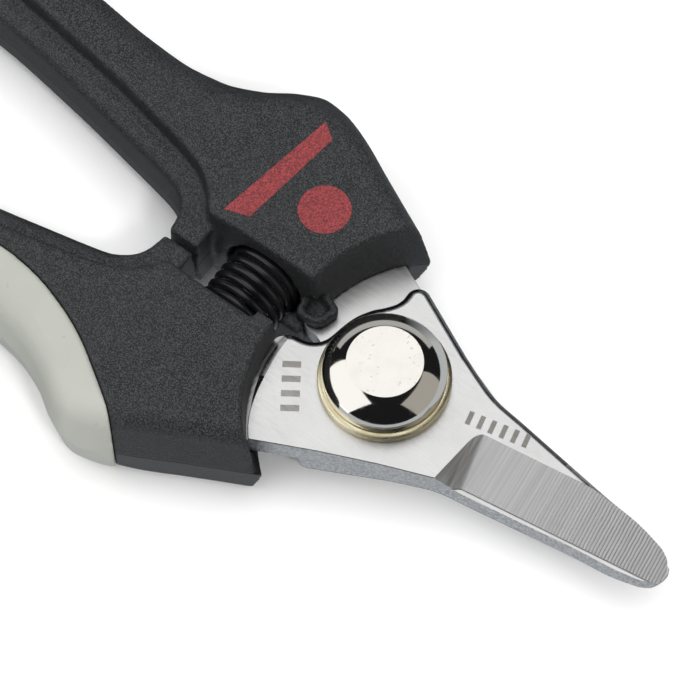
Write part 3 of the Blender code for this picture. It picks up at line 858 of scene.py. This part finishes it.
class Look:
    """A Principled material and the few kinds of node that its detail needs."""

    def __init__(self, name, colour, roughness, metallic=0.0):
        self.material = bpy.data.materials.new(name)
        self.material.use_nodes = True
        self.tree = self.material.node_tree
        self.shader = self.tree.nodes["Principled BSDF"]
        self.shader.inputs["Metallic"].default_value = metallic
        self.shader.inputs["Base Color"].default_value = (*colour, 1.0)
        self.shader.inputs["Roughness"].default_value = roughness
        self.place = self.node("ShaderNodeTexCoord").outputs["Object"]
        self.relief = None

    def node(self, kind, **values):
        made = self.tree.nodes.new(kind)
        for key, value in values.items():
            setattr(made, key, value)
        return made

    def feed(self, socket, value):
        if isinstance(value, bpy.types.NodeSocket):
            self.tree.links.new(value, socket)
        else:
            socket.default_value = value

    def stretched(self, scale, turn_deg=0.0):
        """The object's own coordinates, turned about Z and scaled along each axis."""
        mapping = self.node("ShaderNodeMapping")
        self.feed(mapping.inputs["Vector"], self.place)
        mapping.inputs["Rotation"].default_value = (0.0, 0.0, math.radians(turn_deg))
        mapping.inputs["Scale"].default_value = scale
        return mapping.outputs["Vector"]

    def noise(self, scale, detail=3.0, at=None, distortion=0.0):
        made = self.node("ShaderNodeTexNoise")
        self.feed(made.inputs["Vector"], at or self.place)
        made.inputs["Scale"].default_value = scale
        made.inputs["Detail"].default_value = detail
        made.inputs["Distortion"].default_value = distortion
        return made.outputs["Fac"]

    def sum(self, operation, a, b=0.0, c=0.0):
        made = self.node("ShaderNodeMath", operation=operation)
        for socket, value in zip(made.inputs, (a, b, c)):
            self.feed(socket, value)
        return made.outputs[0]

    def between(self, value, low, high, start=0.35, end=0.65):
        """value from start..end mapped to low..high, clamped."""
        made = self.node("ShaderNodeMapRange")
        for socket, number in zip(made.inputs, (value, start, end, low, high)):
            self.feed(socket, number)
        return made.outputs[0]

    def mix(self, share, a, b):
        made = self.node("ShaderNodeMix", data_type="RGBA")
        self.feed(made.inputs["Factor"], share)
        for socket, colour in ((made.inputs[6], a), (made.inputs[7], b)):
            self.feed(socket, colour if isinstance(colour, bpy.types.NodeSocket) else (*colour, 1.0))
        return made.outputs[2]

    def axis(self, name):
        parts = self.node("ShaderNodeSeparateXYZ")
        self.feed(parts.inputs[0], self.place)
        return parts.outputs[name]

    def dent(self, height, depth, strength=1.0):
        """Adds relief of the given depth in metres on top of what is there."""
        made = self.node("ShaderNodeBump")
        made.inputs["Strength"].default_value = strength
        made.inputs["Distance"].default_value = depth
        self.feed(made.inputs["Height"], height)
        if self.relief is not None:
            self.feed(made.inputs["Normal"], self.relief)
        self.relief = made.outputs["Normal"]
        self.feed(self.shader.inputs["Normal"], self.relief)

    def set(self, name, value):
        self.feed(self.shader.inputs[name], value)


def black_nylon():
    """Grained nylon, with the mould's parting line along the middle of its sides."""
    look = Look("black_nylon_grained", (0.022, 0.023, 0.025), 0.5)
    grain = look.noise(7200.0, 2.0)
    cloud = look.noise(160.0, 3.0)
    speck = look.between(grain, 0.0, 1.0, 0.42, 0.68)
    base = look.mix(look.between(cloud, 0.0, 1.0), (0.004, 0.0044, 0.005), (0.008, 0.0085, 0.009))
    base = look.mix(speck, base, (0.055, 0.057, 0.060))
    off_seam = look.sum("ABSOLUTE", look.sum("SUBTRACT", look.axis("Z"), SHEAR_Z * MM))
    seam = look.between(off_seam, 1.0, 0.0, 0.00008, 0.0002)
    look.set("Base Color", look.mix(seam, base, (0.004, 0.004, 0.004)))
    look.set("Roughness", look.between(grain, 0.40, 0.58))
    look.set("Specular IOR Level", 0.4)
    look.dent(grain, 0.00008, 0.9)
    look.dent(seam, -0.00006, 0.8)
    return look.material


def grey_rubber():
    look = Look("grey_rubber_moulded", (0.47, 0.475, 0.42), 0.36)
    cloud = look.noise(70.0, 3.0)
    fine = look.noise(2600.0, 2.0)
    dust = look.between(look.noise(900.0, 1.0), 0.0, 1.0, 0.74, 0.82)
    base = look.mix(look.between(cloud, 0.0, 1.0), (0.355, 0.365, 0.330), (0.40, 0.405, 0.368))
    look.set("Base Color", look.mix(dust, base, (0.33, 0.32, 0.28)))
    look.set("Roughness", look.between(cloud, 0.30, 0.42))
    look.set("Subsurface Weight", 0.25)
    look.shader.inputs["Subsurface Radius"].default_value = (1.0, 0.95, 0.8)
    look.shader.inputs["Subsurface Scale"].default_value = 0.0012
    look.dent(fine, 0.00002, 0.25)
    return look.material


def tick_row(look, start, along_deg, count, pitch, half_height):
    """1 on a short row of upright ticks that starts at a point on the blade's face, else 0."""
    angle = math.radians(along_deg)
    x = look.sum("SUBTRACT", look.axis("X"), start[0] * MM)
    y = look.sum("SUBTRACT", look.axis("Y"), start[1] * MM)
    along = look.sum("ADD", look.sum("MULTIPLY", x, math.cos(angle) / pitch / MM),
                     look.sum("MULTIPLY", y, math.sin(angle) / pitch / MM))
    across = look.sum("ADD", look.sum("MULTIPLY", x, -math.sin(angle) / MM),
                      look.sum("MULTIPLY", y, math.cos(angle) / MM))
    tick = look.sum("LESS_THAN", look.sum("FRACT", along), 0.42)
    inside = look.sum("MULTIPLY", look.sum("GREATER_THAN", along, 0.0),
                      look.sum("LESS_THAN", along, float(count)))
    tall = look.sum("LESS_THAN", look.sum("ABSOLUTE", across), half_height)
    near = look.sum("GREATER_THAN", look.axis("Z"), SHEAR_Z * MM)
    return look.sum("MULTIPLY", look.sum("MULTIPLY", tick, inside), look.sum("MULTIPLY", tall, near))


def steel_face():
    """The blade's flat face: brushed along its length, with two etched rows of ticks."""
    look = Look("steel_face_brushed", (0.72, 0.72, 0.71), 0.34, 1.0)
    streak = look.noise(1.0, 4.0, look.stretched((420.0, 5200.0, 90.0), -16.0))
    haze = look.noise(120.0, 3.0)
    etched = tick_row(look, (9.6, 1.7), 12.0, 6, 1.3, 0.8)
    stamped = tick_row(look, (-9.3, -4.0), -56.0, 4, 1.7, 1.0)
    marks = look.sum("MAXIMUM", etched, look.sum("MULTIPLY", stamped, 0.8))
    base = look.mix(look.between(streak, 0.0, 1.0), (0.71, 0.71, 0.705), (0.82, 0.82, 0.815))
    look.set("Base Color", look.mix(marks, base, (0.50, 0.48, 0.45)))
    rough = look.sum("ADD", look.between(streak, 0.28, 0.40), look.between(haze, 0.0, 0.04))
    look.set("Roughness", look.sum("ADD", rough, look.sum("MULTIPLY", marks, 0.25)))
    look.dent(streak, 0.000012, 0.35)
    look.dent(look.sum("SUBTRACT", 1.0, stamped), 0.00005, 0.6)
    return look.material


def steel_bevel():
    """The ground bevel: even lines across the blade that show more towards the tip."""
    look = Look("steel_bevel_ground", (0.7, 0.7, 0.7), 0.5, 1.0)
    fine = look.noise(1.0, 2.0, look.stretched((6500.0, 60.0, 60.0), -4.0))
    wave = look.node("ShaderNodeTexWave", wave_type="BANDS", bands_direction="X")
    look.feed(wave.inputs["Vector"], look.stretched((1.0, 1.0, 1.0), -4.0))
    wave.inputs["Scale"].default_value = 850.0
    wave.inputs["Distortion"].default_value = 0.6
    wave.inputs["Detail"].default_value = 0.0
    near_tip = look.between(look.axis("X"), 0.0, 1.0, 0.017, 0.030)
    groove = look.sum("MULTIPLY", near_tip, look.between(wave.outputs["Fac"], 0.0, 1.0, 0.45, 0.95))
    base = look.mix(look.between(fine, 0.0, 1.0), (0.74, 0.74, 0.74), (0.90, 0.90, 0.90))
    look.set("Base Color", look.mix(groove, base, (0.50, 0.50, 0.50)))
    look.set("Roughness", look.between(fine, 0.50, 0.60))
    look.dent(fine, 0.00001, 0.3)
    look.dent(groove, -0.00003, 0.4)
    return look.material


def steel_scoop():
    """The stone's run-out at the end of the bevel and the dull band by the handle."""
    look = Look("steel_scoop_ground", (0.45, 0.45, 0.45), 0.34, 1.0)
    fine = look.noise(1.0, 2.0, look.stretched((3600.0, 80.0, 80.0), -4.0))
    look.set("Base Color", look.mix(look.between(fine, 0.0, 1.0), (0.48, 0.48, 0.48), (0.72, 0.72, 0.72)))
    look.set("Roughness", look.between(fine, 0.30, 0.48))
    look.dent(fine, 0.00002, 0.5)
    return look.material


def steel_edge():
    """The rounded upper edges: smoother than the faces, with a painted dark reflection: their base colour
    is far darker than the faces'.
    """
    look = Look("steel_edge_painted_dark_reflection", (0.3, 0.3, 0.3), 0.24, 1.0)
    haze = look.noise(1500.0, 2.0)
    # Painted dark reflection: a base colour far darker than the faces' steel.
    look.set("Base Color", look.mix(look.between(haze, 0.0, 1.0), (0.20, 0.20, 0.21), (0.30, 0.30, 0.31)))
    look.set("Roughness", look.between(haze, 0.18, 0.26))
    return look.material


def steel_sawn():
    """The blade's side walls: fine, rough granular grey."""
    look = Look("steel_side_granular", (0.4, 0.4, 0.41), 0.55, 0.85)
    grain = look.noise(3200.0, 3.0)
    patch = look.noise(420.0, 2.0)
    base = look.mix(look.between(grain, 0.0, 1.0), (0.40, 0.405, 0.415), (0.80, 0.805, 0.815))
    look.set("Base Color", look.mix(look.between(patch, 0.0, 0.4), base, (0.60, 0.605, 0.62)))
    look.set("Roughness", look.between(grain, 0.42, 0.66))
    look.dent(grain, 0.00006, 0.7)
    return look.material


def nickel():
    """Polished plate, with the dome's flat disc left satin and lightly pitted."""
    look = Look("nickel_polished", (0.80, 0.78, 0.73), 0.07, 1.0)
    orange = look.noise(700.0, 2.0)
    pits = look.between(look.noise(2300.0, 1.0), 0.0, 1.0, 0.66, 0.70)
    patch = look.between(look.noise(330.0, 1.0), 0.0, 1.0, 0.50, 0.56)
    top = look.sum("GREATER_THAN", look.axis("Z"), (SHEAR_Z + HEAD_TOP - 0.01) * MM)
    pitted = look.sum("MULTIPLY", look.sum("MULTIPLY", pits, patch), top)
    look.set("Base Color", look.mix(pitted, (0.82, 0.795, 0.745), (0.68, 0.655, 0.605)))
    rough = look.between(orange, 0.05, 0.11)
    look.set("Roughness", look.sum("ADD", rough, look.sum("MULTIPLY", top, 0.16)))
    look.dent(orange, 0.00001, 0.12)
    return look.material


def brass():
    look = Look("brass_washer", (0.83, 0.70, 0.42), 0.2, 1.0)
    streak = look.noise(1.0, 2.0, look.stretched((500.0, 500.0, 9000.0)))
    haze = look.noise(300.0, 3.0)
    look.set("Base Color", look.mix(look.between(haze, 0.0, 1.0), (0.80, 0.71, 0.47), (0.92, 0.85, 0.62)))
    look.set("Roughness", look.between(streak, 0.24, 0.36))
    look.dent(streak, 0.00001, 0.2)
    return look.material


def black_wire():
    look = Look("spring_black_glossy", (0.012, 0.012, 0.013), 0.24)
    haze = look.noise(260.0, 1.0)
    share = look.between(haze, 0.0, 1.0)
    look.set("Base Color", look.mix(share, (0.004, 0.004, 0.005), (0.009, 0.009, 0.010)))
    look.set("Roughness", look.between(haze, 0.20, 0.27))
    return look.material


def white_nylon():
    look = Look("nylon_ring_white", (0.72, 0.71, 0.66), 0.45)
    haze = look.noise(900.0, 3.0)
    look.set("Base Color", look.mix(look.between(haze, 0.0, 1.0), (0.66, 0.65, 0.60), (0.78, 0.77, 0.72)))
    look.set("Roughness", look.between(haze, 0.38, 0.5))
    return look.material


def red_print():
    """Ink that follows the handle's grain and breaks up on its peaks."""
    look = Look("red_pad_print", (0.42, 0.03, 0.04), 0.5)
    grain = look.noise(6200.0, 2.0)
    worn = look.between(grain, 0.0, 1.0, 0.36, 0.66)
    look.set("Base Color", look.mix(worn, (0.09, 0.011, 0.013), (0.31, 0.042, 0.046)))
    look.set("Roughness", look.between(grain, 0.42, 0.60))
    look.dent(grain, 0.00006, 0.7)
    return look.material


def floor_look():
    look = Look("floor_white", (0.9, 0.9, 0.9), 0.9)
    look.set("Base Color", look.mix(look.noise(4.0), (0.89, 0.89, 0.89), (0.91, 0.91, 0.91)))
    return look.material


# ---------------------------------------------------------------- studio

def view_axes():
    """The camera's right, up and forward directions at the photograph's angle."""
    turn = math.radians(CAMERA_AZIMUTH)
    tilt = math.radians(CAMERA_ELEVATION)
    right = Vector((math.cos(turn), math.sin(turn), 0.0))
    forward = Vector((-math.sin(turn) * math.cos(tilt), math.cos(turn) * math.cos(tilt), -math.sin(tilt)))
    return right, right.cross(forward), forward


def make_camera():
    right, up, forward = view_axes()
    data = bpy.data.cameras.new("camera")
    data.lens = CAMERA_LENS
    data.clip_start = 0.01
    camera = bpy.data.objects.new("camera", data)
    bpy.context.scene.collection.objects.link(camera)
    place_at = AIM_POINT - forward * CAMERA_DISTANCE - right * AIM_RIGHT + up * AIM_BELOW
    pose = Matrix((right, up, -forward)).transposed().to_4x4()
    camera.matrix_world = Matrix.Translation(place_at) @ pose
    bpy.context.scene.camera = camera


def area_light(name, towards, distance, size, watts, glossy=True, colour=(1.0, 1.0, 1.0)):
    """A soft box that stands in a direction from the pivot and shines back at it."""
    data = bpy.data.lights.new(name, "AREA")
    data.shape = "RECTANGLE"
    data.size, data.size_y = size
    data.energy = watts
    data.color = colour
    light = bpy.data.objects.new(name, data)
    bpy.context.scene.collection.objects.link(light)
    way = Vector(towards).normalized()
    light.location = way * distance
    light.rotation_euler = (-way).to_track_quat("-Z", "Y").to_euler()
    light.visible_glossy = glossy
    return light


def make_surroundings(bright_side):
    """A dark room whose lower half, which only reflections see, is bright on one side."""
    world = bpy.data.worlds.new("studio")
    world.use_nodes = True
    tree = world.node_tree

    def feed(node, values):
        for socket, value in zip(node.inputs, values):
            if isinstance(value, bpy.types.NodeSocket):
                tree.links.new(value, socket)
            else:
                socket.default_value = value
        return node.outputs[0]

    def math_node(operation, *values):
        made = tree.nodes.new("ShaderNodeMath")
        made.operation = operation
        return feed(made, values)

    way = tree.nodes.new("ShaderNodeSeparateXYZ")
    tree.links.new(tree.nodes.new("ShaderNodeTexCoord").outputs["Generated"], way.inputs[0])
    facing = math_node("ADD", math_node("MULTIPLY", way.outputs["X"], bright_side.x),
                       math_node("MULTIPLY", way.outputs["Y"], bright_side.y))
    spread = feed(tree.nodes.new("ShaderNodeMapRange"), (facing, -0.62, -0.2, 0.0, LOW_ROOM))
    below = math_node("LESS_THAN", way.outputs["Z"], 0.0)
    strength = math_node("ADD", math_node("MULTIPLY", below, spread), HIGH_ROOM)
    background = tree.nodes["Background"]
    background.inputs["Color"].default_value = (0.9, 0.95, 1.0, 1.0)
    tree.links.new(strength, background.inputs["Strength"])
    bpy.context.scene.world = world


def make_studio():
    right, _, forward = view_axes()
    away = Vector((forward.x, forward.y, 0.0)).normalized()
    area_light("overhead", 0.27 * away + 0.96 * UP, 0.7, (0.50, 0.73), 1.36)
    area_light("key", (1.93, -1.02, 3.0), 0.8, (0.10, 0.10), 1.6, glossy=False)
    area_light("fill", (0.0, 0.0, 1.0), 1.6, (2.2, 2.2), 30.0, glossy=False)
    area_light("left_box", -right - 0.17 * away + 0.62 * UP, 0.6, (0.81, 0.80), 2.35)
    area_light("right_box", 0.94 * right - 0.33 * away + 0.53 * UP, 0.6, (0.64, 0.61), 0.5,
               colour=(1.0, 0.96, 0.88))
    area_light("back_box", away + 0.22 * UP, 0.8, (1.6, 0.30), 0.68)
    make_surroundings(0.6 * right - 0.8 * away)
    bpy.context.scene.view_settings.view_transform = "Standard"

    bpy.ops.mesh.primitive_plane_add(size=4.0, location=(0.0, 0.0, -0.0001))
    floor = bpy.context.object
    floor.name = "floor"
    floor.data.materials.append(floor_look())
    floor.visible_glossy = False


# ---------------------------------------------------------------- the snips

def build():
    nylon = black_nylon()
    steel = [steel_face(), steel_bevel(), steel_scoop(), steel_sawn(), steel_edge()]
    plated = nickel()
    yellow = brass()

    place(make_handle("upper_handle_skin", False), UPRIGHT, "upper_half", "black_nylon", [nylon],
          "upper_handle")
    place(make_handle("lower_handle_skin", True), FLIP, "lower_half", "black_nylon", [nylon],
          "lower_handle")
    place(make_grip("lower_grip_skin"), FLIP, "lower_half", "grey_rubber", [grey_rubber()],
          "lower_grip")
    place(make_blade("near_blade_ground"), UPRIGHT, "lower_half", "blade_steel", steel, "near_blade")
    place(make_blade("far_blade_ground"), FLIP, "upper_half", "blade_steel", steel, "far_blade")
    place(make_bolt("pivot_bolt_domed"), UPRIGHT, "upper_half", "nickel_plate", [plated],
          "pivot_bolt")
    place(make_front_washer("front_washer_dished"), UPRIGHT, "upper_half", "brass", [yellow],
          "front_washer")
    back_high = -BLADE_THICK - SEAT_GAP
    back = ring("back_washer_flat", PIVOT_HOLE_R, BACK_WASHER_R, back_high - BACK_WASHER_THICK,
                back_high, 0.12)
    place(back, UPRIGHT, "upper_half", "brass", [yellow], "back_washer")
    place(make_nut("pivot_nut_hex"), UPRIGHT, "upper_half", "nickel_plate", [plated], "pivot_nut")
    ring_low = -SHEAR_Z + 0.2
    lock = ring("nut_lock_ring_nylon", THREAD_R + 0.1, THREAD_R + 1.2, ring_low,
                ring_low + LOCK_RING_THICK - 0.1, 0.15)
    place(lock, UPRIGHT, "upper_half", "white_nylon", [white_nylon()], "nut_lock_ring")
    place(make_latch("latch_bail_wire"), UPRIGHT, "latch", "nickel_plate", [plated], "latch_bail")

    red = red_print()
    place(make_print("print_stripe", STRIPE), UPRIGHT, "upper_half", "black_nylon", [red])
    dot = arc(DOT_CENTRE, DOT_R, 0, 352.5, 47)
    place(make_print("print_dot", dot), UPRIGHT, "upper_half", "black_nylon", [red])

    spring = place(make_spring("coil_spring_wire"), UPRIGHT, None, "black_spring_steel",
                   [black_wire()], "coil_spring")
    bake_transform(spring)


build()
make_studio()
make_camera()
